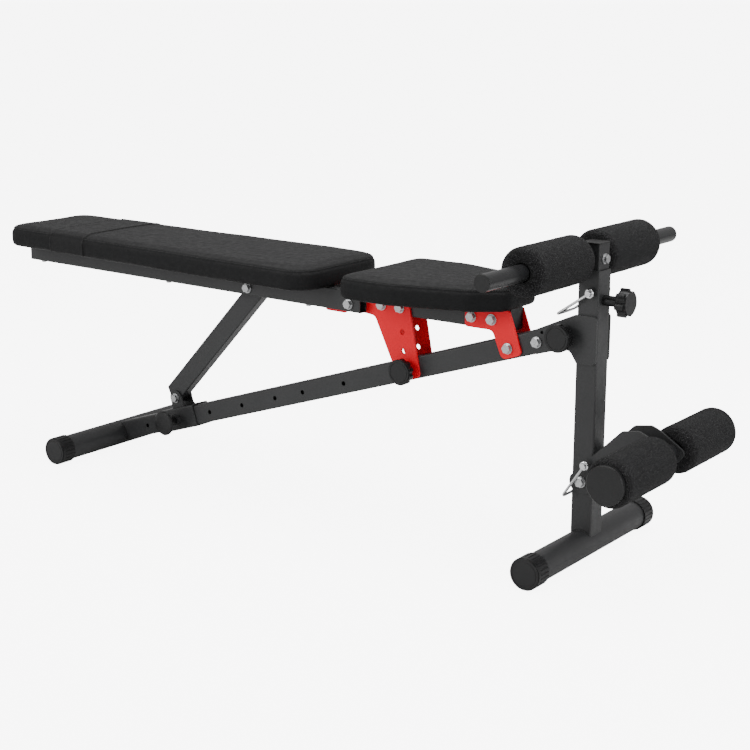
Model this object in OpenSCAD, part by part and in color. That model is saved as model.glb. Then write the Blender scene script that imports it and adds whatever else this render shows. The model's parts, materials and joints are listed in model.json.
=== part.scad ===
// Decline sit-up bench: folding front stand, sloping main beam, tilting seat,
// reclining backrest held by a strut on a sliding sleeve. Millimetres, +Z up,
// +X towards the leg rollers, origin on the floor under the middle of the bench.
// Every module is drawn with x = 0 at the front post; place() moves it to the origin.

/* [Tubes and feet] */
// outer side of the square main tubes
tube = 40; // [38:0.5:42]
// wall of the square tubes
wall = 2; // [1.5:0.1:2.5]
// outer diameter of the round foot tubes
foot_d = 50.8; // [48:0.1:52]
// outer diameter of the ribbed foot caps
cap_d = 56.6; // [55:0.1:60]
// length of a foot tube with both caps
foot_len = 404; // [360:1:460]
// length of a ribbed foot cap
cap_len = 34; // [26:1:44]
// number of grooves around a foot cap
cap_ribs = 24; // [16:1:30]

/* [Main beam] */
// slope of the main beam in degrees
slope = 18.13; // [17.8:0.01:18.4]
// height of the beam's axis above the floor at the front post
beam_z = 403.1; // [402:0.1:405]
// distance from the front foot to the rear foot
base_len = 1142.6; // [1135:0.1:1150]
// diameter of the adjustment holes
adj_hole_d = 9; // [7:0.1:10]
// place of the front end of the beam, along its axis
beam_front = -30; // [-36:0.5:-28]

/* [Seat] */
// place of the seat's front pivot along the beam
seat_pivot_s = -160; // [-164:0.5:-156]
// distance from the seat's pivot to its locking pin
seat_lock_r = 226; // [220:0.5:230]
// angle between two seat positions
seat_step = 8.95; // [8:0.05:9.5]
// height of the top face of the seat tube
seat_top = 421.5; // [421:0.5:424]
// thickness of the seat pad
seat_pad_t = 45; // [35:1:45]
// greatest width of the seat pad
seat_w = 259; // [230:1:280]

/* [Backrest] */
// backrest hinge, distance behind the front post
hinge_x = -485.7; // [-488:0.1:-483]
// backrest hinge, height above the floor
hinge_z = 394.5; // [393:0.1:396]
// tilt of the backrest at rest, the head end up
back_tilt = 0.51; // [0:0.01:1]
// height of a backrest rail
rail_h = 40; // [38:0.5:40]
// width of a backrest rail
rail_w = 20; // [18:0.5:22]
// width of the backrest pad at the hip end
back_w = 255; // [230:1:260]
// width of the backrest pad at the head end
head_w = 228; // [210:1:230]
// thickness of the backrest pad
back_pad_t = 47; // [38:1:47]
// head end of the pad, measured from the hinge
pad_head = -887; // [-900:1:-885]
// hip end of the pad, measured from the hinge
pad_hip = -41; // [-80:1:-41]

/* [Strut and sleeve] */
// side of the strut seen from the bench's side
strut_h = 40; // [36:0.5:40]
// thickness of the strut across the bench
strut_w = 25; // [20:0.5:25]
// outer side of the sliding sleeve
sleeve_o = 46; // [45:0.5:48]
// length of the sliding sleeve
sleeve_len = 107; // [100:1:110]

/* [Front stand] */
// top end of the outer post
post_top = 506; // [500:0.5:507]
// outer side of the telescoping inner post
inner_o = 35; // [34:0.5:35]
// top of the inner post with its cap
inner_top = 552; // [550:0.5:556]
// thickness of the gusset and arm plates
plate_t = 4; // [3:0.5:4.5]

/* [Rollers] */
// outer diameter of the foam rollers
foam_d = 83; // [76:0.5:84]
// outer diameter of the roller bars
bar_d = 28.6; // [25:0.1:29]
// overall length of the top bar with its plugs
bar_len = 622; // [580:1:640]
// length of a top foam roller
foam_top_len = 168; // [150:1:170]
// length of a leg foam roller
foam_leg_len = 165; // [150:1:166]
// diameter of the flat discs on the leg rollers
disc_d = 66; // [50:1:72]

/* [Hidden] */
$fn = 64;
T2 = tube / 2;
foot_z = cap_d / 2;
flat = 0.35;                      // depth of the moulded flat under each cap
run = 0.08;                       // radial clearance of a running fit
side = 0.3;                       // gap between a plate and a tube that moves on it
bolt_r = 5;
HX = hinge_x; HZ = hinge_z;
// adjustment holes along the beam, the second one holds the sleeve
holes = [-1107, -1011, -915, -821, -728, -653.5, -546];
pin_s = holes[1];
sleeve_s0 = pin_s + 53.5 - sleeve_len;
ear_s = pin_s + 5.5; ear_n = 43.7;
stand_pivot_s = -99; stand_lock_s = -43;
seat_lock_s = seat_pivot_s - seat_lock_r;
function on_beam(s, n = 0) = [s * cos(slope) - n * sin(slope), beam_z + s * sin(slope) + n * cos(slope)];
SP = on_beam(seat_pivot_s);
SL = on_beam(seat_lock_s);
FP = on_beam(stand_pivot_s);
FL = on_beam(stand_lock_s);
EB = on_beam(ear_s, ear_n);       // strut's lower bolt
ST = [HX - 249.6 * cos(back_tilt) - 0.6 * sin(back_tilt), HZ + 249.6 * sin(back_tilt) - 0.6 * cos(back_tilt)]; // strut's upper bolt
strut_a = 46.3;                   // direction of the strut's sides
bar_x = -20.8; bar_z = 524.6;     // top roller bar
arm_z = 141; leg_x = 142.3; leg_z = 208.9;
star_z = 455;
upin = [6.2, 468.7]; lpin = [12.3, 174.7];
ubail = [-54.7, 426.9]; lbail = [-28.2, 113.2];
plate_in = T2 + side; plate_out = plate_in + plate_t;
red_t = 4; red_out = plate_in + red_t;
rail_in = red_out + 0.7; rail_out = rail_in + rail_w;
rail_b = -14.6; rail_t = rail_b + rail_h;

X0 = -((HX + pad_head * cos(back_tilt) + rail_t * sin(back_tilt)) + (leg_x + foam_d / 2)) / 2;

// ---------- helpers ----------
function unit(v) = v / norm(v);
// rounded outline: each corner gets the radius beside it
function arc_pts(p, q, s, r, n = 6) =
  let(a = unit(p - q), b = unit(s - q), h = acos(max(-1, min(1, a * b))) / 2,
      d = r / tan(h), t = unit(a + b) * (r / sin(h)), c = q + t,
      u = q + a * d - c, w = q + b * d - c,
      au = atan2(u[1], u[0]), aw0 = atan2(w[1], w[0]),
      da = (aw0 - au) > 180 ? aw0 - au - 360 : (aw0 - au) < -180 ? aw0 - au + 360 : aw0 - au)
  [for (i = [0:n]) c + r * [cos(au + da * i / n), sin(au + da * i / n)]];
function rounded(pts, rad, n = 6) = [for (i = [0:len(pts) - 1])
  let(p = pts[(i + len(pts) - 1) % len(pts)], q = pts[i], s = pts[(i + 1) % len(pts)])
  each (rad[i] > 0 ? arc_pts(p, q, s, rad[i], n) : [q])];

// a plate drawn in the X-Z plane, between two Y values
module xz(y0, y1) { translate([0, y1, 0]) rotate([90, 0, 0]) linear_extrude(y1 - y0) children(); }
// a cylinder along Y at a point of the X-Z plane
module ycyl(p, r, y0, y1) { translate([p[0], y1, p[1]]) rotate([90, 0, 0]) cylinder(r = r, h = y1 - y0); }
module yhex(p, r, y0, y1) { translate([p[0], y1, p[1]]) rotate([90, 0, 0]) cylinder(r = r, h = y1 - y0, $fn = 6); }
module place() { translate([X0, 0, 0]) children(); }
module both() { children(); mirror([0, 1, 0]) children(); }
module along_beam() { translate([0, 0, beam_z]) rotate([0, -slope, 0]) children(); }
module at_back() { translate([HX, 0, HZ]) rotate([0, back_tilt, 0]) children(); }
// square tube outline with rounded corners
module sq(w, h, r) { polygon(rounded([[-w/2, -h/2], [w/2, -h/2], [w/2, h/2], [-w/2, h/2]], [r, r, r, r], 5)); }
// square tube along X
module xtube(x0, x1, w, h, t, r = 3) {
  translate([x0, 0, 0]) rotate([90, 0, 90]) difference() {
    linear_extrude(x1 - x0) sq(w, h, r);
    translate([0, 0, -1]) linear_extrude(x1 - x0 + 2) sq(w - 2 * t, h - 2 * t, max(0.6, r - t));
  }
}
module ztube(z0, z1, w, t, r = 3) {
  translate([0, 0, z0]) difference() {
    linear_extrude(z1 - z0) sq(w, w, r);
    translate([0, 0, -1]) linear_extrude(z1 - z0 + 2) sq(w - 2 * t, w - 2 * t, max(0.6, r - t));
  }
}
// hex bolt head with its washer, outwards from the face at y (s = -1 near, 1 far)
module head(p, y, s, r = 8.3, h = 6) {
  ycyl(p, r + 1.6, min(y, y + s * 1.6), max(y, y + s * 1.6));
  yhex(p, r, min(y + s * 1.6, y + s * (1.6 + h)), max(y + s * 1.6, y + s * (1.6 + h)));
}
// bolt across the bench: head near, nut far, shank between; g is the gap under the washers
module cross_bolt(p, y, r = bolt_r, g = 0) {
  yo = y + g;
  union() { ycyl(p, r, -yo, yo); head(p, -yo, -1); head(p, yo, 1, 8.3, 7); }
}

// ---------- main frame ----------
module foot_tube(x) {
  color("#26272a") translate([x, 0, foot_z]) rotate([90, 0, 0]) difference() {
    cylinder(r = foot_d / 2, h = foot_len - 8, center = true);
    cylinder(r = foot_d / 2 - wall, h = foot_len, center = true);
  }
}
module foot_caps(x) {
  color("#151515") both() difference() {
    translate([x, -foot_len / 2, foot_z]) rotate([-90, 0, 0]) difference() {
      union() {
        cylinder(r = cap_d / 2 - 1.2, h = 2.4);
        translate([0, 0, 2.4]) cylinder(r = cap_d / 2, h = cap_len - 2.4);
      }
      translate([0, 0, 4]) cylinder(r = foot_d / 2 + 0.05, h = cap_len);
      for (i = [0:cap_ribs - 1]) rotate(360 / cap_ribs * (i + 0.5))
        translate([cap_d / 2 + 0.3, 0, 8]) cylinder(r = 1.5, h = cap_len);
      translate([0, 0, -1]) difference() { cylinder(r = cap_d / 2 - 5, h = 1.6); cylinder(r = cap_d / 2 - 6.2, h = 1.6); }
    }
    translate([x - 40, -foot_len / 2 - 5, -10]) cube([80, cap_len + 10, 10 + flat]);
  }
}
module rear_foot_tube() { translate([0, 0, -flat]) foot_tube(-base_len); }
module rear_foot_caps() { translate([0, 0, -flat]) foot_caps(-base_len); }
module main_beam() {
  color("#222326") difference() {
    along_beam() difference() {
      xtube(-base_len / cos(slope), beam_front, tube, tube, wall);
      for (s = holes) ycyl([s, 0], adj_hole_d / 2, -T2 - 5, T2 + 5);
      for (s = [stand_pivot_s, stand_lock_s, seat_pivot_s, seat_lock_s]) ycyl([s, 0], bolt_r + run, -T2 - 5, T2 + 5);
    }
    ycyl([-base_len, foot_z - flat], foot_d / 2 + 0.05, -60, 60);
  }
}
module beam_end_plug() {
  color("#151515") along_beam() translate([beam_front, 0, 0]) rotate([90, 0, 90]) union() {
    linear_extrude(2) sq(tube - 0.6, tube - 0.6, 3);
    translate([0, 0, -6]) linear_extrude(6) sq(tube - 2 * wall, tube - 2 * wall, 1);
  }
}

// ---------- front stand ----------
module front_foot_tube() { translate([0, 0, -flat]) foot_tube(0); }
module front_foot_caps() { translate([0, 0, -flat]) foot_caps(0); }
module front_post() {
  color("#222326") difference() {
    ztube(foot_z, post_top, tube, wall);
    ycyl([0, foot_z - flat], foot_d / 2 + 0.05, -60, 60);
    ycyl(upin, 3.2 + run, -T2 - 5, T2 + 5);
    ycyl(lpin, 3.2 + run, -T2 - 5, T2 + 5);
    ycyl([0, arm_z], bolt_r + run, -T2 - 5, T2 + 5);
    translate([0, 0, star_z]) rotate([0, 90, 0]) cylinder(r = 4 + run, h = 60);
  }
}
gus = rounded([on_beam(-114, 20), [-22, 429], [20, 430], [20, 346.5], [-16, 345.5], [-30, 367], on_beam(-52, -21), on_beam(-112, -20)],
              [8, 14, 7, 9, 5, 14, 8, 8]);
module gusset_plates() {
  color("#1f2023") both() difference() {
    union() {
      xz(-plate_out, -plate_in) polygon(gus);
      // weld pad that bridges the small gap to the post
      translate([-18, -plate_in, 352]) cube([34, side, 70]);
    }
    ycyl(FP, bolt_r + run, -60, 0);
    ycyl(FL, bolt_r + run, -60, 0);
    ycyl(on_beam(-84, 14.6), 3, -60, 0);
  }
}
module stand_pivot_bolt() { color("#b9bcc0") cross_bolt(FP, plate_out, bolt_r, side); }
// hand knob with scalloped skirt, axis along Y, face towards -Y
module lobed_knob(p, yf, yb, r = 24, lobes = 10) {
  translate([p[0], yf, p[1]]) rotate([-90, 0, 0]) union() {
    difference() {
      union() {
        cylinder(r = r - 1.5, h = 2);
        translate([0, 0, 2]) cylinder(r = r, h = 12);
        translate([0, 0, 14]) cylinder(r1 = r - 3, r2 = 14, h = 4);
      }
      for (i = [0:lobes - 1]) rotate(360 / lobes * i) translate([r + 3.4, 0, 2.5]) cylinder(r = 6, h = 30);
      translate([0, 0, -1]) difference() { cylinder(r = r - 5, h = 1.6); cylinder(r = r - 6, h = 1.6); }
    }
    translate([0, 0, 18]) cylinder(r = 10, h = yb - yf - 18);
  }
}
module stand_lock_knob() {
  color("#17181a") union() {
    lobed_knob(FL, -plate_out - 27, -plate_out - side);
    ycyl(FL, bolt_r, -plate_out - 2, -plate_in - side);
  }
}
module roller_post() {
  color("#232427") difference() {
    ztube(380, inner_top - 3, inner_o, wall);
    ycyl([bar_x, bar_z], bar_d / 2 + 0.05, -40, 40);
    translate([0, 0, bar_z]) rotate([0, 90, 0]) cylinder(r = 4 + run, h = 60);
    for (k = [0:3]) ycyl([upin[0], upin[1] - 25 * k], 3.6, -60, 60);
  }
}
module roller_post_cap() {
  color("#151515") translate([0, 0, inner_top - 3]) union() {
    linear_extrude(3) sq(inner_o + 1, inner_o + 1, 3.4);
    translate([0, 0, -5]) linear_extrude(5) sq(inner_o - 2 * wall, inner_o - 2 * wall, 1);
  }
}
module top_roller_bar() {
  color("#2a2b2e") translate([bar_x, 0, bar_z]) rotate([90, 0, 0]) difference() {
    cylinder(r = bar_d / 2, h = bar_len - 4, center = true);
    cylinder(r = bar_d / 2 - wall, h = bar_len, center = true);
    rotate([0, 90, 0]) cylinder(r = 4 + run, h = 60);
  }
}
module top_bar_plugs() {
  color("#17181a") both() translate([bar_x, -bar_len / 2, bar_z]) rotate([-90, 0, 0]) union() {
    cylinder(r = bar_d / 2 - 0.2, h = 2);
    translate([0, 0, 2]) cylinder(r = bar_d / 2 - wall, h = 12);
  }
}
module roller_bar_bolt() {
  color("#b9bcc0") translate([inner_o / 2, 0, bar_z]) rotate([0, 90, 0]) union() {
    cylinder(r = 9, h = 1.4);
    translate([0, 0, 1.4]) cylinder(r = 7.5, h = 5.5, $fn = 6);
    translate([0, 0, -30.5]) cylinder(r = 4, h = 31.5);
  }
}
module foam(p, y0, y1) {
  translate([p[0], y1, p[1]]) rotate([90, 0, 0]) difference() {
    union() {
      translate([0, 0, 5]) cylinder(r = foam_d / 2, h = y1 - y0 - 10);
      cylinder(r1 = foam_d / 2 - 5, r2 = foam_d / 2, h = 5);
      translate([0, 0, y1 - y0 - 5]) cylinder(r1 = foam_d / 2, r2 = foam_d / 2 - 5, h = 5);
    }
    translate([0, 0, -1]) cylinder(r = bar_d / 2 + side, h = y1 - y0 + 2);
  }
}
module top_roller_near() { color("#3a3a3c") foam([bar_x, bar_z], -31.5 - foam_top_len, -31.5); }
module top_roller_far() { color("#3a3a3c") foam([bar_x, bar_z], 31.5, 31.5 + foam_top_len); }
module star_knob() {
  color("#17181a") translate([T2 + side, 0, star_z]) rotate([0, 90, 0]) union() {
    cylinder(r = 9, h = 26);
    difference() {
      union() {
        translate([0, 0, 26]) cylinder(r1 = 14, r2 = 21, h = 4);
        translate([0, 0, 30]) cylinder(r = 24.5, h = 15);
        translate([0, 0, 45]) cylinder(r = 20, h = 4);
      }
      for (i = [0:6]) rotate(360 / 7 * i) translate([28.5, 0, 20]) cylinder(r = 9, h = 40);
    }
    translate([0, 0, -wall]) cylinder(r = 4, h = 6);
  }
}
// hitch pin cut at the walls, one stub on each side
module pin_stubs(p, y0, w) {
  color("#c8c9cc") both() union() { ycyl(p, 3.2, -w - 4.8, -y0); ycyl(p, 4.6, -w - 6.3, -w - 3.8); }
}
module bail(p, q, w) {
  d = q - p; L = norm(d); a = atan2(d[1], d[0]);
  color("#d5d6d9") translate([p[0], 0, p[1]]) rotate([0, -a, 0]) union() {
    both() union() {
      translate([0, -w, 0]) rotate([90, 0, 0]) rotate_extrude() translate([6, 0]) circle(r = 2.55, $fn = 24);
      translate([6.5, -w, 0]) rotate([0, 90, 0]) cylinder(r = 2.4, h = L - 14, $fn = 24);
      translate([L - 8, -w + 8, 0]) rotate([0, 0, -90]) rotate_extrude(angle = 90) translate([8, 0]) circle(r = 2.3, $fn = 24);
    }
    translate([L, w - 7.4, 0]) rotate([90, 0, 0]) cylinder(r = 2.4, h = 2 * w - 14.8, $fn = 24);
  }
}
module post_lock_pin() { pin_stubs(upin, T2 - wall, 28.2); }
module post_lock_bail() { bail(upin, ubail, 28.2); }
module leg_lock_pin() { pin_stubs(lpin, plate_in + side, 36.4); }
module leg_lock_bail() { bail(lpin, lbail, 36.4); }
arm = rounded([[-20, 150], [74, 243.5], [106, 249], [124, 241.5], [171, 212], [156, 193], [8, 119.5], [-30, 125]],
              [10, 9, 14, 12, 9, 14, 16, 19]);
module leg_arm_plates() {
  color("#1b1c1e") both() difference() {
    xz(-plate_out, -plate_in) polygon(arm);
    ycyl([0, arm_z], bolt_r + run, -60, 0);
    ycyl(lpin, 3.2 + run, -60, 0);
    ycyl([leg_x, leg_z], bar_d / 2 + 0.05, -60, 0);
  }
}
module leg_roller_bar() {
  color("#2a2b2e") translate([leg_x, 0, leg_z]) rotate([90, 0, 0]) difference() {
    cylinder(r = bar_d / 2, h = 2 * (31 + foam_leg_len + 0.5), center = true);
    cylinder(r = bar_d / 2 - wall, h = 500, center = true);
  }
}
module leg_roller_discs() {
  color("#1b1b1d") both() translate([leg_x, -31 - foam_leg_len - 8.8, leg_z]) rotate([-90, 0, 0]) union() {
    cylinder(r1 = disc_d / 2 - 1.5, r2 = disc_d / 2, h = 1.5);
    translate([0, 0, 1.5]) cylinder(r = disc_d / 2, h = 6.8);
    translate([0, 0, 8.3]) cylinder(r = bar_d / 2 - wall, h = 14);
  }
}
module leg_roller_near() { color("#3a3a3c") foam([leg_x, leg_z], -31 - foam_leg_len, -31); }
module leg_roller_far() { color("#3a3a3c") foam([leg_x, leg_z], 31, 31 + foam_leg_len); }
module leg_arm_bolt() { color("#b9bcc0") cross_bolt([0, arm_z], plate_out, bolt_r, side); }

// ---------- seat ----------
module seat_tube() {
  color("#232427") difference() {
    translate([0, 0, seat_top - T2]) xtube(-440, -152, tube, tube, 2.5);
    for (x = [-425, -383.5]) ycyl([x, 397], bolt_r - 1 + run, -60, 60);
    for (x = [-228, -186]) ycyl([x, 400], bolt_r - 1 + run, -60, 60);
  }
}
module seat_tube_plug() {
  color("#151515") translate([-152, 0, seat_top - T2]) rotate([90, 0, 90]) union() {
    linear_extrude(2) sq(tube - 0.4, tube - 0.4, 3);
    translate([0, 0, -8]) linear_extrude(8) sq(tube - 5, tube - 5, 0.5);
  }
}
rear_red = rounded([[-558, 411], [-558, 372], [-510, 371.5], [-500, 381], [-441, 375.2], [-384, 258], [-338.5, 273], [-366, 418], [-446, 418], [-460, 411]],
                   [12, 7, 7, 8, 12, 9, 9, 4, 4, 4]);
front_red = rounded([[-242, 418], [-242, 381.3], [-184.5, 381.3], [-163.5, 331], [-123, 345.5], [-150.5, 419]],
                    [3, 6, 12, 11, 9, 5]);
module seat_rear_brackets() {
  color("#e21d23") both() difference() {
    union() {
      xz(-red_out, -plate_in) polygon(rear_red);
      translate([-436, -plate_in, 384]) cube([66, side, 32]);
    }
    for (x = [-425, -383.5]) ycyl([x, 397], bolt_r - 1 + run, -60, 60);
    for (k = [0:2]) ycyl([SP[0] - seat_lock_r * cos(slope - k * seat_step), SP[1] - seat_lock_r * sin(slope - k * seat_step)], bolt_r + run, -60, 0);
    ycyl([HX, HZ], bolt_r + run, -60, 0);
  }
}
module seat_front_brackets() {
  color("#e21d23") both() difference() {
    union() {
      xz(-red_out, -plate_in) polygon(front_red);
      translate([-236, -plate_in, 386]) cube([78, side, 28]);
    }
    for (x = [-228, -186]) ycyl([x, 400], bolt_r - 1 + run, -60, 60);
    ycyl(SP, bolt_r + run, -60, 0);
  }
}
module seat_bracket_bolts() {
  color("#b9bcc0") {
    for (x = [-425, -383.5]) cross_bolt([x, 397], red_out, bolt_r - 1);
    for (x = [-228, -186]) cross_bolt([x, 400], red_out, bolt_r - 1);
  }
}
module seat_pivot_bolt() { color("#b9bcc0") cross_bolt(SP, red_out, bolt_r, side); }
module seat_pad() {
  h = seat_w / 2;
  color("#2c2c2e") translate([0, 0, seat_top]) linear_extrude(seat_pad_t)
    polygon(rounded([[-456, -h], [-335, -h], [-190, -90], [-138, -50], [-138, 50], [-190, 90], [-335, h], [-456, h]],
                    [28, 150, 40, 30, 30, 40, 150, 28], 8));
}
module seat_lock_knob() {
  color("#17181a") {
    lobed_knob(SL, -red_out - 27, -red_out - side);
    ycyl(SL, bolt_r, -T2, T2);
    union() { ycyl(SL, 7.5, red_out + side, red_out + 5); ycyl(SL, bolt_r, red_out + 5, red_out + 8); }
  }
}

// ---------- backrest ----------
module backrest_rails() {
  color("#232427") both() difference() {
    at_back() translate([0, -(rail_in + rail_w / 2), rail_b + rail_h / 2]) xtube(-883, 26, rail_w, rail_h, 1.5, 2.5);
    ycyl([HX, HZ], bolt_r + run, -80, 0);
    ycyl(ST, bolt_r + run, -80, 0);
  }
}
module backrest_pad() {
  h = back_w / 2;
  e = head_w / 2;
  color("#2c2c2e") at_back() translate([0, 0, rail_t]) linear_extrude(back_pad_t)
    polygon(rounded([[pad_head, -e], [pad_hip - 130, -h], [pad_hip, -h], [pad_hip, h], [pad_hip - 130, h], [pad_head, e]], [38, 400, 50, 50, 400, 38], 8));
}
module backrest_pad_screws() {
  color("#b9bcc0") at_back() both() for (x = [-852, -473, -104]) translate([x, -(rail_in + rail_w / 2), rail_b - 3.8]) union() {
    cylinder(r1 = 4.6, r2 = 6.4, h = 3.8);
  }
}
module backrest_hinge_bolt() {
  color("#b9bcc0") union() {
    cross_bolt([HX, HZ], rail_out, bolt_r, side);
    ycyl([HX, HZ], 15, -plate_in + 0.4, plate_in - 0.4); // spacer between the red brackets
  }
}
module strut_top_bolt() {
  color("#b9bcc0") union() {
    cross_bolt(ST, rail_out, bolt_r, side);
    both() ycyl(ST, 8, -rail_in + side, -strut_w / 2 - side);
  }
}
module strut_frame() { translate([EB[0], 0, EB[1]]) rotate([0, -strut_a, 0]) children(); }
// strut's upper bolt seen from its lower bolt, along and across the strut
SU = [(ST[0] - EB[0]) * cos(strut_a) + (ST[1] - EB[1]) * sin(strut_a), -(ST[0] - EB[0]) * sin(strut_a) + (ST[1] - EB[1]) * cos(strut_a)];
module support_strut() {
  c = 13;
  color("#26272a") difference() {
    strut_frame() translate([0, 0, c]) intersection() {
      xtube(-14, SU[0] + 16, strut_w, strut_h, wall, 2.5);
      xz(-30, 30) polygon([[-12, -21], [-12, -4], [-3, 21], [SU[0] + 4, 21], [SU[0] + 14, 10], [SU[0] + 14, -9], [SU[0] + 4, -21]]);
    }
    ycyl(ST, bolt_r + run, -60, 60);
    ycyl(EB, 7, -60, 60);
  }
}
module strut_bushes() {
  color("#8d8f93") difference() {
    ycyl(EB, 7, -strut_w / 2 - 0.2, strut_w / 2 + 0.2);
    ycyl(EB, bolt_r + run, -60, 60);
  }
}

// ---------- sliding sleeve ----------
module sliding_sleeve() {
  color("#1f2023") along_beam() difference() {
    union() {
      xtube(sleeve_s0, sleeve_s0 + sleeve_len, sleeve_o, sleeve_o, (sleeve_o - tube) / 2 - 0.5, 3.2);
      difference() {
        ycyl([pin_s, 0], 11.5, -sleeve_o / 2 - 9, -sleeve_o / 2 + 1);
        ycyl([pin_s, 0], 8, -sleeve_o / 2 - 10, -sleeve_o / 2 - 6);
      }
    }
    ycyl([pin_s, 0], 4 + run, -60, 0);
  }
}
module sleeve_ears() {
  color("#1f2023") along_beam() both() difference() {
    xz(-strut_w / 2 - 4, -strut_w / 2 - 0.5) polygon(rounded([[ear_s - 16, sleeve_o / 2], [ear_s + 16, sleeve_o / 2], [ear_s + 15, ear_n + 15], [ear_s - 15, ear_n + 15]], [0, 0, 14, 14], 8));
    ycyl([ear_s, ear_n], bolt_r + run, -60, 0);
  }
}
module strut_lower_bolt() {
  yo = strut_w / 2 + 4;
  color("#b9bcc0") {
    union() { ycyl(EB, bolt_r, -yo - 1, -yo + 3.4); head(EB, -yo, -1); }
    union() { ycyl(EB, bolt_r, yo - 3.4, yo + 1); head(EB, yo, 1, 8.3, 7); }
  }
}
module pull_pin_knob() {
  y0 = sleeve_o / 2;
  color("#17181a") along_beam() translate([pin_s, 0, 0]) rotate([90, 0, 0]) rotate_extrude()
    polygon([[0, T2 + side + 0.2], [4, T2 + side + 0.2], [4, y0 + 6.5], [7.6, y0 + 6.5], [7.6, y0 + 22], [13, y0 + 30], [22, y0 + 33.5], [25.5, y0 + 36.5], [25.5, y0 + 39], [23.5, y0 + 41.5], [16, y0 + 43], [0, y0 + 43.6]]);
}

place() main_beam();
place() rear_foot_tube();
place() rear_foot_caps();
place() front_post();
place() front_foot_tube();
place() front_foot_caps();
place() gusset_plates();
place() stand_pivot_bolt();
place() stand_lock_knob();
place() roller_post();
place() roller_post_cap();
place() top_roller_bar();
place() top_bar_plugs();
place() roller_bar_bolt();
place() top_roller_near();
place() top_roller_far();
place() star_knob();
place() post_lock_pin();
place() post_lock_bail();
place() leg_arm_plates();
place() leg_roller_bar();
place() leg_roller_discs();
place() leg_roller_near();
place() leg_roller_far();
place() leg_arm_bolt();
place() leg_lock_pin();
place() leg_lock_bail();
place() seat_tube();
place() seat_tube_plug();
place() seat_rear_brackets();
place() seat_front_brackets();
place() seat_bracket_bolts();
place() seat_pivot_bolt();
place() seat_pad();
place() seat_lock_knob();
place() backrest_rails();
place() backrest_pad();
place() backrest_pad_screws();
place() backrest_hinge_bolt();
place() strut_top_bolt();
place() support_strut();
place() strut_bushes();
place() sliding_sleeve();
place() sleeve_ears();
place() strut_lower_bolt();
place() pull_pin_knob();
place() beam_end_plug();
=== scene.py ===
import bpy, bmesh, math, json, random
import numpy as np
from mathutils import Vector, Matrix, noise
from mathutils.bvhtree import BVHTree


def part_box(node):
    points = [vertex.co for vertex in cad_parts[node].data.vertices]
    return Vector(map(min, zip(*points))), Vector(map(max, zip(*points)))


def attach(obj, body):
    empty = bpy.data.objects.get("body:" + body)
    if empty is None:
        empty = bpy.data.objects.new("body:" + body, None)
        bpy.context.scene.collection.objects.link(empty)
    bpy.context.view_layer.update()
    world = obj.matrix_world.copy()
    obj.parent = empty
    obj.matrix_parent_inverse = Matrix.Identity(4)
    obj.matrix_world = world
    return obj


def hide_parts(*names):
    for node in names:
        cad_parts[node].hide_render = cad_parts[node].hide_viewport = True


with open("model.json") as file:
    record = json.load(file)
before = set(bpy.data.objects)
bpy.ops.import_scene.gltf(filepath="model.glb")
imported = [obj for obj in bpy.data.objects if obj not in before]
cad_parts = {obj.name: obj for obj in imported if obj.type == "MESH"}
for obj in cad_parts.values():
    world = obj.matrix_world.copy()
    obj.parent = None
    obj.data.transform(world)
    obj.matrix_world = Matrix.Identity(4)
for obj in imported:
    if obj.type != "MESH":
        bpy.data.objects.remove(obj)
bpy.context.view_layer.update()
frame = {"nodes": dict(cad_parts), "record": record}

random.seed(7)
N = frame["nodes"]
S = bpy.context.scene
X0 = 0.594319          # the front post's axis in the row frame


# ------------------------------------------------------------------ camera
cam = bpy.data.objects.new("camera", bpy.data.cameras.new("camera"))
S.collection.objects.link(cam)
cam.location = (1.21282 + X0, -2.19772, 0.94339)
cam.rotation_euler = (math.radians(90 - 14.0), 0, math.radians(37.26))
cam.data.lens = 72.75
cam.data.sensor_width = 36
cam.data.clip_start = 0.05
cam.data.clip_end = 1000
S.camera = cam


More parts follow.
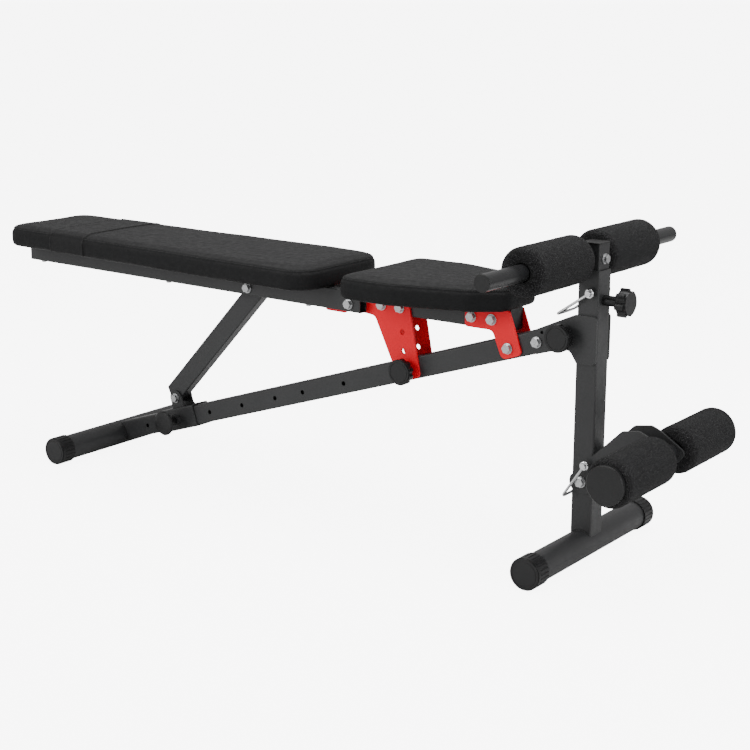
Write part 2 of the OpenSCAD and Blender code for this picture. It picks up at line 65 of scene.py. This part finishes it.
# ------------------------------------------------------------------ materials
class Mat:
    def __init__(self, name, base, rough, metal=0.0, spec=0.5, coat=0.0):
        self.m = bpy.data.materials.new(name)
        self.m.use_nodes = True
        self.t = self.m.node_tree
        self.b = next(n for n in self.t.nodes if n.type == "BSDF_PRINCIPLED")
        self.b.inputs["Base Color"].default_value = (*base, 1)
        self.b.inputs["Roughness"].default_value = rough
        self.b.inputs["Metallic"].default_value = metal
        self.b.inputs["Specular IOR Level"].default_value = spec
        if coat:
            self.b.inputs["Coat Weight"].default_value = coat
            self.b.inputs["Coat Roughness"].default_value = 0.2
        self.m.diffuse_color = (*base, 1)
        self.last = None
        self.co = self.n("ShaderNodeTexCoord").outputs["Object"]

    def n(self, kind, **kw):
        n = self.t.nodes.new(kind)
        for k, v in kw.items():
            setattr(n, k, v)
        return n

    def l(self, a, b):
        self.t.links.new(a, b)

    def noise(self, scale, detail=4.0, rough=0.55, dist=0.0):
        n = self.n("ShaderNodeTexNoise")
        n.inputs["Scale"].default_value = scale
        n.inputs["Detail"].default_value = detail
        n.inputs["Roughness"].default_value = rough
        n.inputs["Distortion"].default_value = dist
        self.l(self.co, n.inputs["Vector"])
        return n.outputs["Fac"]

    def voronoi(self, scale, feature="F1", rand=1.0):
        n = self.n("ShaderNodeTexVoronoi", feature=feature)
        n.inputs["Scale"].default_value = scale
        n.inputs["Randomness"].default_value = rand
        self.l(self.co, n.inputs["Vector"])
        return n.outputs["Distance"]

    def ramp(self, fac, stops):
        n = self.n("ShaderNodeValToRGB")
        e = n.color_ramp.elements
        while len(e) < len(stops):
            e.new(0.5)
        for el, (p, c) in zip(e, stops):
            el.position = p
            el.color = c if len(c) == 4 else (*c, 1)
        self.l(fac, n.inputs["Fac"])
        return n.outputs["Color"]

    def range(self, fac, lo, hi, a=0.0, b=1.0):
        n = self.n("ShaderNodeMapRange")
        n.inputs["From Min"].default_value = a
        n.inputs["From Max"].default_value = b
        n.inputs["To Min"].default_value = lo
        n.inputs["To Max"].default_value = hi
        self.l(fac, n.inputs["Value"])
        return n.outputs["Result"]

    def mix(self, fac, a, b):
        n = self.n("ShaderNodeMix", data_type="RGBA")
        for key, v in (("Factor", fac),):
            s = n.inputs[0]
            if isinstance(v, (int, float)):
                s.default_value = v
            else:
                self.l(v, s)
        for s, v in ((n.inputs[6], a), (n.inputs[7], b)):
            if isinstance(v, tuple):
                s.default_value = (*v, 1)
            else:
                self.l(v, s)
        return n.outputs[2]

    def colour(self, c):
        self.l(c, self.b.inputs["Base Color"])

    def roughness(self, v):
        self.l(v, self.b.inputs["Roughness"])

    def bump(self, h, strength, dist):
        n = self.n("ShaderNodeBump")
        n.inputs["Strength"].default_value = strength
        n.inputs["Distance"].default_value = dist
        self.l(h, n.inputs["Height"])
        if self.last is not None:
            self.l(self.last, n.inputs["Normal"])
        self.last = n.outputs["Normal"]
        self.l(self.last, self.b.inputs["Normal"])

    def bevel(self, r):
        n = self.n("ShaderNodeBevel", samples=4)
        n.inputs["Radius"].default_value = r
        self.last = n.outputs["Normal"]
        self.l(self.last, self.b.inputs["Normal"])

    def edges(self, r=0.0011):
        g = self.n("ShaderNodeNewGeometry")
        b = self.n("ShaderNodeBevel", samples=4)
        b.inputs["Radius"].default_value = r
        d = self.n("ShaderNodeVectorMath", operation="DOT_PRODUCT")
        self.l(g.outputs["Normal"], d.inputs[0])
        self.l(b.outputs["Normal"], d.inputs[1])
        return self.range(d.outputs["Value"], 1.0, 0.0, 0.80, 0.985)


def coat_black(name, base, rough, grain=2600, amp=0.00006, orange=0.10, spec=0.40):
    m = Mat(name, base, rough, spec=spec)
    m.bevel(0.0009)
    v = m.noise(9, 5)
    light = tuple(min(1, c * 1.25 + 0.001) for c in base)
    c = m.mix(m.range(v, 0.0, 1.0, 0.3, 0.75), base, light)
    # painted edge highlight: the bevel edge mask, broken up by noise, lightens the rims to grey
    edge_highlight = m.n("ShaderNodeMath", operation="MULTIPLY")
    m.l(m.edges(), edge_highlight.inputs[0])
    m.l(m.range(m.noise(160, 3), 0.0, 0.5, 0.45, 0.75), edge_highlight.inputs[1])
    m.colour(m.mix(edge_highlight.outputs[0], c, (0.07, 0.07, 0.073)))
    m.roughness(m.range(m.noise(60, 6), rough - 0.03, rough + 0.06, 0.3, 0.7))
    m.bump(m.noise(grain, 2, 0.5), 0.35, amp)
    m.bump(m.noise(420, 3), orange, 0.00010)
    return m.m


black = coat_black("frame_black", (0.0205, 0.0208, 0.0215), 0.40)
bar = coat_black("bar_black", (0.010, 0.0102, 0.0108), 0.28, 1500, 0.000004, 0.01, 0.42)
# a darker copy of the frame coat, painted shade for the roller post
dark = coat_black("shaded_frame_black", (0.012, 0.0122, 0.0128), 0.42)

_m = Mat("bracket_red", (0.82, 0.005, 0.014), 0.40, spec=0.20)
_m.bevel(0.0008)
_m.colour(_m.mix(_m.range(_m.noise(20, 5), 0, 1, 0.3, 0.75), (0.80, 0.005, 0.016), (0.86, 0.006, 0.019)))
_m.roughness(_m.range(_m.noise(90, 5), 0.36, 0.50, 0.3, 0.7))
_m.bump(_m.noise(2400, 2), 0.3, 0.00005)
red = _m.m

_m = Mat("zinc", (0.66, 0.67, 0.68), 0.3, metal=1.0)
_m.bevel(0.0006)
_m.colour(_m.mix(_m.range(_m.noise(220, 5), 0, 1, 0.3, 0.7), (0.40, 0.405, 0.41), (0.58, 0.585, 0.59)))
_m.roughness(_m.range(_m.noise(500, 4), 0.20, 0.42, 0.3, 0.7))
_m.bump(_m.noise(900, 3), 0.2, 0.00004)
zinc = _m.m

_m = Mat("chrome_wire", (0.80, 0.80, 0.81), 0.14, metal=1.0)
_m.roughness(_m.range(_m.noise(300, 4), 0.09, 0.22, 0.3, 0.7))
_m.colour(_m.mix(_m.noise(120, 3), (0.60, 0.60, 0.61), (0.76, 0.76, 0.77)))
_m.bump(_m.noise(800, 3), 0.15, 0.00003)
chrome = _m.m

_m = Mat("black_plastic", (0.006, 0.006, 0.0064), 0.40, spec=0.36)
_m.bevel(0.0008)
_m.colour(_m.mix(_m.range(_m.noise(40, 5), 0, 1, 0.3, 0.7), (0.0050, 0.0050, 0.0054), (0.0075, 0.0075, 0.0080)))
_m.roughness(_m.range(_m.noise(120, 6), 0.30, 0.46, 0.3, 0.7))
_m.bump(_m.noise(1800, 3), 0.35, 0.00008)
plastic = _m.m

# fine pebbled vinyl, a smoother top and a slightly coarser side; the side copy is also a little darker, as painted
# shade
def vinyl_mat(name, base, rough, cell, depth, spec):
    m = Mat(name, base, rough, spec=spec)
    v = m.voronoi(cell, "DISTANCE_TO_EDGE", 0.9)
    big = m.noise(11, 5)
    c = m.mix(m.range(big, 0, 1, 0.3, 0.75), base, tuple(x * 1.14 for x in base))
    # painted shade: the grooves between the pebbles are darkened
    c = m.mix(m.range(v, 0.55, 0.0, 0.0, 0.10), c, tuple(x * 0.35 for x in base))
    m.colour(c)
    m.roughness(m.range(m.noise(90, 5), rough - 0.08, rough + 0.10, 0.3, 0.7))
    m.bump(m.range(v, 0, 1, 0.0, 0.16), 0.55, depth)
    m.bump(m.noise(cell * 3.2, 3), 0.25, depth * 0.35)
    m.bump(m.noise(26, 3), 0.10, 0.0003)
    return m.m


vinyl = vinyl_mat("vinyl", (0.0068, 0.0068, 0.0072), 0.52, 620, 0.00030, 0.16)
# side copy: coarser grain, and a darker base that is painted shade on the pad sides
shaded_vinyl_side = vinyl_mat("shaded_vinyl_side", (0.0064, 0.0064, 0.0068), 0.55, 520, 0.00045, 0.15)
_m = Mat("thread", (0.012, 0.012, 0.013), 0.7)
_m.colour(_m.mix(_m.noise(1500, 2), (0.010, 0.010, 0.011), (0.035, 0.035, 0.036)))
_m.bump(_m.noise(2500, 2), 0.5, 0.0001)
_m.roughness(_m.range(_m.noise(700, 2), 0.6, 0.85, 0.3, 0.7))
thread = _m.m

_m = Mat("foam", (0.010, 0.010, 0.011), 0.95, spec=0.08)
_f = _m.noise(760, 4, 0.7)
# painted shade and highlight: the ramp follows the bump height, pits near-black and raised cell tips pale grey
_c = _m.ramp(_f, [(0.38, (0.002, 0.002, 0.0021)), (0.50, (0.010, 0.010, 0.0105)), (0.60, (0.034, 0.034, 0.035)), (0.70, (0.12, 0.12, 0.122))])
_m.colour(_m.mix(_m.range(_m.noise(30, 4), 0.0, 0.12, 0.35, 0.7), _c, (0.004, 0.004, 0.0043)))
_m.bump(_f, 0.9, 0.0016)
_m.bump(_m.voronoi(900), 0.4, 0.0008)
_m.roughness(_m.range(_m.noise(200, 3), 0.85, 1.0, 0.3, 0.7))
_m.b.inputs["Sheen Weight"].default_value = 0.03
_m.b.inputs["Sheen Roughness"].default_value = 0.5
foam = _m.m

SLOTS = {"frame_black": black, "bracket_red": red, "zinc": zinc, "chrome_wire": chrome,
         "black_plastic": plastic, "foam": foam, "vinyl": vinyl, "bar_black": bar}
for sp in frame["record"]["subparts"]:
    o = N[sp["node"]]
    o.data.materials.clear()
    o.data.materials.append(SLOTS[sp["material_slot"]])
# the roller post takes the darker copy of the frame coat: painted shade
N["roller_post"].data.materials[0] = dark


# ------------------------------------------------------------------ helpers
def new_obj(name, verts, faces, mats, body, smooth=True):
    me = bpy.data.meshes.new(name)
    me.from_pydata([tuple(v) for v in verts], [], faces)
    me.validate()
    me.update()
    if smooth:
        me.shade_smooth()
    o = bpy.data.objects.new(name, me)
    S.collection.objects.link(o)
    for m in mats:
        me.materials.append(m)
    if body:
        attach(o, body)
    return o


def apply_mods(o):
    dg = bpy.context.evaluated_depsgraph_get()
    dg.update()
    me = bpy.data.meshes.new_from_object(o.evaluated_get(dg))
    o.modifiers.clear()
    old = o.data
    o.data = me
    bpy.data.meshes.remove(old)


def corner_outline(pts, rad, n=10):
    """Rounded closed outline, counter-clockwise, resampled to an even step."""
    out = []
    k = len(pts)
    for i in range(k):
        p, q, s = Vector(pts[i - 1]), Vector(pts[i]), Vector(pts[(i + 1) % k])
        a, b = (p - q).normalized(), (s - q).normalized()
        h = math.acos(max(-1, min(1, a.dot(b)))) / 2
        d = rad[i] / math.tan(h)
        c = q + (a + b).normalized() * (rad[i] / math.sin(h))
        u, w = q + a * d - c, q + b * d - c
        au, aw = math.atan2(u.y, u.x), math.atan2(w.y, w.x)
        da = (aw - au + math.pi) % (2 * math.pi) - math.pi
        for j in range(n + 1):
            t = au + da * j / n
            out.append(c + rad[i] * Vector((math.cos(t), math.sin(t))))
    return resample(out, 0.004)


def resample(pts, step, closed=True):
    q = pts + ([pts[0]] if closed else [])
    L = [0]
    for a, b in zip(q, q[1:]):
        L.append(L[-1] + (b - a).length)
    n = max(8, int(L[-1] / step))
    res, j = [], 0
    for i in range(n if closed else n + 1):
        t = L[-1] * i / n
        while j < len(L) - 2 and L[j + 1] < t:
            j += 1
        seg = L[j + 1] - L[j]
        res.append(q[j].lerp(q[j + 1], (t - L[j]) / seg if seg > 1e-9 else 0))
    return res


def inward(pts, d):
    k = len(pts)
    res = []
    for i in range(k):
        t = (pts[(i + 1) % k] - pts[i - 1]).normalized()
        res.append(pts[i] + Vector((-t.y, t.x)) * d)
    return res


def stitches(name, path, normals, body, length=0.0030, pitch=0.0044, r=0.00042, lift=0.0001):
    """Short thread stitches along a 3-D path."""
    verts, faces = [], []
    L = [0]
    for a, b in zip(path, path[1:]):
        L.append(L[-1] + (b - a).length)
    cnt = int(L[-1] / pitch)
    j = 0
    ring = 6
    for i in range(cnt):
        t = (i + 0.5) * L[-1] / cnt
        while j < len(L) - 2 and L[j + 1] < t:
            j += 1
        seg = L[j + 1] - L[j]
        f = (t - L[j]) / seg if seg > 1e-9 else 0
        p = path[j].lerp(path[j + 1], f)
        nn = normals[j].lerp(normals[j + 1], f).normalized()
        d = (path[j + 1] - path[j]).normalized()
        side = d.cross(nn).normalized()
        base = len(verts)
        prof = [(-0.5, 0.15, -0.7), (-0.38, 0.85, 0.1), (0, 1.0, 0.55), (0.38, 0.85, 0.1), (0.5, 0.15, -0.7)]
        for (a, rr, h) in prof:
            for k in range(ring):
                an = 2 * math.pi * k / ring
                verts.append(p + d * a * length + side * math.cos(an) * r * rr + nn * (math.sin(an) * r * rr + h * r + lift))
        for s in range(len(prof) - 1):
            for k in range(ring):
                a0, a1 = base + s * ring + k, base + s * ring + (k + 1) % ring
                faces.append((a0, a1, a1 + ring, a0 + ring))
        faces.append(tuple(base + k for k in reversed(range(ring))))
        faces.append(tuple(base + (len(prof) - 1) * ring + k for k in range(ring)))
    return new_obj(name, verts, faces, [thread], body)


PROFILE = [(0.0070, 0.0), (0.0030, 0.0012), (0.0010, 0.0045), (0.0003, 0.0100), (0.0, 0.0180), (0.0002, 0.0260),
           (0.0010, 0.0320), (0.0028, 0.0362), (0.0062, 0.0392), (0.0110, 0.0408), (0.0180, 0.0418)]
SEAM_D, SEAM_Z = 0.0016, 0.0343


def make_pad(name, outline, xf, body, node, H, crown, extra=None):
    """A stuffed pad on a flat board: lofted, blown up by cloth, then seamed."""
    k = len(outline)
    verts, faces = [], []
    sc = H / 0.0425
    for d, z in PROFILE:
        for p in inward(outline, d):
            verts.append(Vector((p.x, p.y, z * sc)))
    rows = len(PROFILE)
    for i in range(rows - 1):
        for j in range(k):
            a, b = i * k + j, i * k + (j + 1) % k
            faces.append((a, b, b + k, a + k))
    faces.append(tuple(reversed(range(k))))
    faces.append(tuple((rows - 1) * k + j for j in range(k)))
    o = new_obj(name, verts, faces, [vinyl], None)
    m = o.modifiers.new("remesh", "REMESH")
    m.mode = "VOXEL"
    m.voxel_size = 0.005
    apply_mods(o)
    base = [v.co.copy() for v in o.data.vertices]
    g = o.vertex_groups.new(name="board")
    g.add([v.index for v in o.data.vertices if v.co.z < 0.004], 1.0, "REPLACE")
    c = o.modifiers.new("cloth", "CLOTH")
    c.settings.quality = 5
    c.settings.mass = 0.3
    c.settings.tension_stiffness = 25
    c.settings.compression_stiffness = 25
    c.settings.shear_stiffness = 10
    c.settings.bending_stiffness = 2
    c.settings.vertex_group_mass = "board"
    c.settings.use_pressure = True
    c.settings.uniform_pressure_force = 4
    c.settings.effector_weights.gravity = 0
    c.collision_settings.use_collision = False
    c.point_cache.frame_start, c.point_cache.frame_end = 1, 20
    for f in range(1, 21):
        S.frame_set(f)
    apply_mods(o)
    S.frame_set(1)
    # keep the even part of the bulge, without the cloth's ripples
    me = o.data
    p0 = np.array([tuple(v) for v in base])
    d = np.array([tuple(v.co) for v in me.vertices]) - p0
    for v, b in zip(me.vertices, base):
        v.co = b
    me.update()
    nn = np.array([tuple(v.normal) for v in me.vertices])
    h = (d * nn).sum(axis=1)
    pin = p0[:, 2] < 0.004
    h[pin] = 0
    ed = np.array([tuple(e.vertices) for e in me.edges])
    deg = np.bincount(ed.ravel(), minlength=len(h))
    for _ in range(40):
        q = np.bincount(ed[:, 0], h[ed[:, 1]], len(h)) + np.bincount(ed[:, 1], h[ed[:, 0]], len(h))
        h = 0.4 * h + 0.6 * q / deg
        h[pin] = 0
    h = np.clip(h * 0.5, -0.0002, 0.0016)
    for v, b, x, n3 in zip(me.vertices, base, h, nn):
        v.co = b + Vector(n3) * float(x)
    me.update()
    m = o.modifiers.new("sub", "SUBSURF")
    m.levels = m.render_levels = 1
    apply_mods(o)
    # crown, and the groove of the seam round the top
    ins = inward(outline, SEAM_D)
    from mathutils.kdtree import KDTree
    kd = KDTree(k)
    for i, p in enumerate(outline):
        kd.insert((p.x, p.y, 0), i)
    kd.balance()
    me = o.data
    me.update()
    nor = [v.normal.copy() for v in me.vertices]
    for v, nn in zip(me.vertices, nor):
        _, _, t = kd.find((v.co.x, v.co.y, 0))
        if v.co.z > 0.02:
            up = min(1, (v.co.z - 0.02) / 0.02)
            v.co.z += up * crown * (1 - math.exp(-max(0, t - 0.004) / 0.035))
            v.co.z += up * 0.0009 * noise.noise(Vector((v.co.x * 9, v.co.y * 9, 3.1))) * min(1, t / 0.03)
        dz = (v.co.z - SEAM_Z * sc)
        if t < 0.012 and abs(dz) < 0.008:
            v.co -= nn * 0.0015 * math.exp(-(dz / 0.0022) ** 2)
        if extra:
            extra(v, nn)
    me.update()
    bvh = BVHTree.FromPolygons([v.co for v in me.vertices], [tuple(p.vertices) for p in me.polygons])
    # side faces get the coarser vinyl, a little darker as painted shade
    me.materials.append(shaded_vinyl_side)
    for p in me.polygons:
        if p.center.z < SEAM_Z * sc and abs(p.normal.z) < 0.75:
            p.material_index = 1
    me.shade_smooth()
    # seam line and its stitches
    path, nrm = [], []
    for i in list(range(k)) + [0]:
        t = (outline[(i + 1) % k] - outline[i - 1]).normalized()
        out = Vector((t.y, -t.x, 0))
        p = Vector((outline[i].x, outline[i].y, 0)) + out * 0.02
        hit = bvh.ray_cast(p + Vector((0, 0, SEAM_Z * sc + 0.0022)), -out)
        if hit[0] is None:
            continue
        path.append(hit[0])
        nrm.append(hit[1])
    st = stitches(name + "_stitches", path, nrm, body)
    for x in (o, st):
        x.data.transform(xf)
        x.data.update()
    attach(o, body)
    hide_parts(node)
    return o, bvh


def tube_along(name, pts, r, mat, body, slot, closed=False, seg=8):
    cu = bpy.data.curves.new(name, "CURVE")
    cu.dimensions = "3D"
    sp = cu.splines.new("POLY")
    sp.points.add(len(pts) - 1)
    for a, p in zip(sp.points, pts):
        a.co = (*p, 1)
    sp.use_cyclic_u = closed
    cu.bevel_depth = r
    cu.bevel_resolution = 2
    tmp = bpy.data.objects.new(name + "_tmp", cu)
    S.collection.objects.link(tmp)
    dg = bpy.context.evaluated_depsgraph_get()
    me = bpy.data.meshes.new_from_object(tmp.evaluated_get(dg))
    bpy.data.objects.remove(tmp)
    me.name = name
    o = bpy.data.objects.new(name, me)
    S.collection.objects.link(o)
    me.materials.clear()
    me.materials.append(mat)
    me.shade_smooth()
    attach(o, body)
    return o


# ------------------------------------------------------------------ seat pad
def mm(*p):
    return tuple(c / 1000 for c in p)


SH, SX = 129.0, X0 * 1000
seat_out = corner_outline([mm(x + SX, y) for x, y in ((-454.5, -SH), (-335, -SH), (-191, -91), (-139.5, -50), (-139.5, 50), (-191, 91), (-335, SH), (-454.5, SH))],
                          [c / 1000 for c in (30, 150, 44, 32, 32, 44, 150, 30)])
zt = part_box("seat_pad")[0][2]
make_pad("seat_cushion", seat_out, Matrix.Translation((0, 0, zt)), "seat", "seat_pad", 0.0435, 0.0022)

# ------------------------------------------------------------------ backrest pad
HX, HZ, BT = -485.7 + SX, 394.5, math.radians(0.51)
bh, hh = 126.5, 113.0
back_out = corner_outline([mm(x, y) for x, y in ((-885.5, -hh), (-195, -bh), (-42.5, -bh), (-42.5, bh), (-195, bh), (-885.5, hh))],
                          [c / 1000 for c in (40, 400, 52, 52, 400, 40)])
XB = Matrix.Translation((HX / 1000, 0, HZ / 1000)) @ Matrix.Rotation(BT, 4, "Y") @ Matrix.Translation((0, 0, 0.0254))
back, bbvh = make_pad("backrest_cushion", back_out, XB, "backrest", "backrest_pad", 0.0435, 0.0026)

# the sewn band round the head end
BX0, BX1 = (-1224 + 485.7) / 1000, (-1120 + 485.7) / 1000
verts, faces, rows = [], [], []
angs = [math.radians(a) for a in list(range(-24, 205, 2))]
stations = [(BX0, 0.0), (BX0 + 0.0003, 0.0011), (BX0 + 0.0012, 0.0016)]
stations += [(BX0 + (BX1 - BX0) * i / 16, 0.0017) for i in range(1, 16)]
stations += [(BX1 - 0.0012, 0.0016), (BX1 - 0.0003, 0.0011), (BX1, 0.0)]
edge = {0: [], 1: []}
for x, off in stations:
    row = []
    for a in angs:
        d = Vector((0, math.cos(a), math.sin(a)))
        o3 = Vector((x, 0, 0.020))
        d2 = Vector((0, d.y * 1.0, d.z * 0.45)).normalized()
        hit = bbvh.ray_cast(o3, d2)
        p = hit[0] if hit[0] is not None else o3 + d2 * 0.1
        nn = hit[1] if hit[0] is not None else d2
        if p.z < 0.0035:
            p = Vector((p.x, p.y, 0.0035))
        row.append(len(verts))
        verts.append(p + nn * (off - 0.0002))
        if abs(x - (BX0 + (BX1 - BX0) / 16)) < 1e-9:
            edge[0].append((p, nn))
        if abs(x - (BX0 + (BX1 - BX0) * 15 / 16)) < 1e-9:
            edge[1].append((p, nn))
    rows.append(row)
for r0, r1 in zip(rows, rows[1:]):
    for j in range(len(angs) - 1):
        faces.append((r0[j], r0[j + 1], r1[j + 1], r1[j]))
band = new_obj("head_band", verts, faces, [vinyl], "backrest")
sol = band.modifiers.new("s", "SOLIDIFY")
sol.thickness = 0.0008
sol.offset = -1
apply_mods(band)
band.data.transform(XB)
band.data.shade_smooth()
for e in (0, 1):
    xs = BX0 + 0.0032 if e == 0 else BX1 - 0.0032
    path = [Vector((xs, p.y, p.z)) + nn * 0.0016 for p, nn in edge[e]]
    st = stitches(f"head_band_stitches_{e}", path, [nn for _, nn in edge[e]], "backrest")
    st.data.transform(XB)


# ------------------------------------------------------------------ foam rollers
def foam_roller(name, node, body, end_round=0.011):
    lo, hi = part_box(node)
    y0, y1 = lo[1], hi[1]
    cx, cz = (lo[0] + hi[0]) / 2, (lo[2] + hi[2]) / 2
    R = (hi[2] - lo[2]) / 2 - 0.0004
    r0 = 0.0148
    prof = [(r0, 0.012), (r0 + 0.0004, 0.004), (r0 + 0.002, 0.0012), (r0 + 0.006, 0.0004)]
    e = end_round
    for i in range(0, 9):
        a = math.pi / 2 * i / 8
        prof.append((R - e + e * math.sin(a), e - e * math.cos(a)))
    L = y1 - y0
    body_n = int(L / 0.0028)
    half = [(r, y0 + d) for r, d in prof]
    mid = [(R, y0 + e + (L - 2 * e) * i / body_n) for i in range(1, body_n)]
    other = [(r, y1 - d) for r, d in reversed(prof)]
    pr = half + mid + other
    # the hole's wall joins the two ends
    seg = 112
    verts, faces = [], []
    for r, y in pr:
        for k in range(seg):
            a = 2 * math.pi * k / seg
            verts.append(Vector((cx + r * math.cos(a), y, cz + r * math.sin(a))))
    n = len(pr)
    for i in range(n):
        for k in range(seg):
            a, b = i * seg + k, i * seg + (k + 1) % seg
            c, d = ((i + 1) % n) * seg + k, ((i + 1) % n) * seg + (k + 1) % seg
            faces.append((a, c, d, b))
    o = new_obj(name, verts, faces, [foam], body)
    me = o.data
    for v in me.vertices:
        rad = Vector((v.co.x - cx, 0, v.co.z - cz))
        if rad.length > r0 + 0.003:
            q = v.co * 130
            h = noise.fractal(q, 1.0, 2.0, 3) * 0.00025 + noise.noise(v.co * 28) * 0.0003
            v.co += rad.normalized() * h
    me.update()
    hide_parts(node)
    return o


foam_roller("top_foam_near", "top_roller_near", "top_foam_near", 0.0095)
foam_roller("top_foam_far", "top_roller_far", "top_foam_far", 0.0095)
foam_roller("leg_foam_near", "leg_roller_near", "leg_foam_near", 0.010)
foam_roller("leg_foam_far", "leg_roller_far", "leg_foam_far", 0.010)

# ------------------------------------------------------------------ floor and light
bpy.ops.mesh.primitive_plane_add(size=400, location=(0, 0, 0))
fl = bpy.context.object
fl.name = "floor"
_m = Mat("floor_pale", (0.6, 0.6, 0.6), 0.7, spec=0.1)
_m.colour(_m.mix(_m.noise(3, 4), (0.59, 0.59, 0.59), (0.61, 0.61, 0.61)))
_lp = _m.n("ShaderNodeLightPath")
_m.b.inputs["Emission Color"].default_value = (1, 1, 1, 1)
_m.l(_m.range(_lp.outputs["Is Camera Ray"], 0.0, 7.0), _m.b.inputs["Emission Strength"])
fl.data.materials.append(_m.m)

w = bpy.data.worlds.new("studio") if S.world is None else S.world
S.world = w
w.use_nodes = True
bg = next(n for n in w.node_tree.nodes if n.type == "BACKGROUND")
bg.inputs["Color"].default_value = (1.0, 1.0, 1.0, 1)
_lp = w.node_tree.nodes.new("ShaderNodeLightPath")
_mr = w.node_tree.nodes.new("ShaderNodeMapRange")
_mr.inputs["To Min"].default_value = 0.55
_mr.inputs["To Max"].default_value = 7.6
w.node_tree.links.new(_lp.outputs["Is Camera Ray"], _mr.inputs["Value"])
w.node_tree.links.new(_mr.outputs["Result"], bg.inputs["Strength"])


def area(name, loc, target, size, power):
    d = bpy.data.lights.new(name, "AREA")
    d.shape = "RECTANGLE"
    d.size, d.size_y = size
    d.energy = power
    o = bpy.data.objects.new(name, d)
    S.collection.objects.link(o)
    o.location = loc
    o.rotation_euler = (Vector(target) - Vector(loc)).to_track_quat("-Z", "Y").to_euler()
    return o


area("top", (0.0, 0.2, 3.2), (0, 0, 0.3), (3.5, 2.4), 130)
area("key", (-1.6, -3.2, 1.6), (0, 0, 0.3), (1.6, 1.6), 70)
area("front", (3.2, -0.6, 1.3), (0.4, 0, 0.3), (1.2, 1.6), 55)
